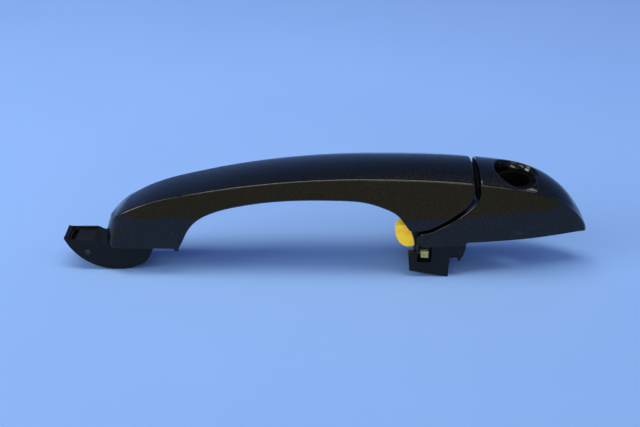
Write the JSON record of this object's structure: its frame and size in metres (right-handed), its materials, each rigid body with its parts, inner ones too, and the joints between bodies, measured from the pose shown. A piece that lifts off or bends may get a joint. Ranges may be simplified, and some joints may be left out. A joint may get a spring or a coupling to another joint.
{
  "type": "car door handle",
  "caption": "Exterior strap door handle: a long curved painted grip that swings on a half-moon arm, beside a fixed end cap with a round key recess and a guide block.",
  "frame": {"origin": "middle of the handle's footprint, on the surface that it rests on when it lies as seen off the door", "axes": "+X along the handle from the pivot arm to the end cap, +Y across it, +Z away from the door skin"},
  "size_m": [0.2463, 0.0298, 0.0553],
  "materials": {
    "paint": "black pearl paint with fine gold flake under clear coat",
    "satin_black": "satin moulded, unpainted",
    "inner_nylon": "glass-filled nylon, as moulded",
    "seal_rubber": "closed-cell foam rubber",
    "stop_rubber": "smooth rubber",
    "yellow_elastomer": "satin polyurethane",
    "yellow_passivate": "yellow-olive passivated zinc",
    "zinc_steel": "bright zinc",
    "pin_steel": "ground steel",
    "insert_brass": "machined",
    "shoe_pom": "natural acetal"
  },
  "bodies": {
    "end_cap": {"cap_shell": "paint", "cap_carrier": "inner_nylon", "cap_seal": "seal_rubber", "cap_screws": "zinc_steel", "guide_block": "satin_black", "block_clips": "yellow_passivate", "block_screws": "zinc_steel", "retaining_insert": "insert_brass", "stop_pad": "stop_rubber"},
    "grip": {"grip_cover": "paint", "grip_liner": "paint", "grip_core": "inner_nylon", "liner_screws": "zinc_steel", "pivot_arm": "satin_black", "arm_screw": "zinc_steel", "link_pin": "pin_steel", "foot_seal": "seal_rubber", "rear_leg": "satin_black", "leg_screw": "zinc_steel", "leg_shoe": "shoe_pom", "foot_pad": "yellow_elastomer"}
  },
  "joints": [
    {"name": "grip_swing", "type": "hinge", "parent": "end_cap", "child": "grip", "pos_m": [-0.0993, 0, 0.0251], "axis": [0, -1, 0], "range_deg": [0, 6]}
  ]
}
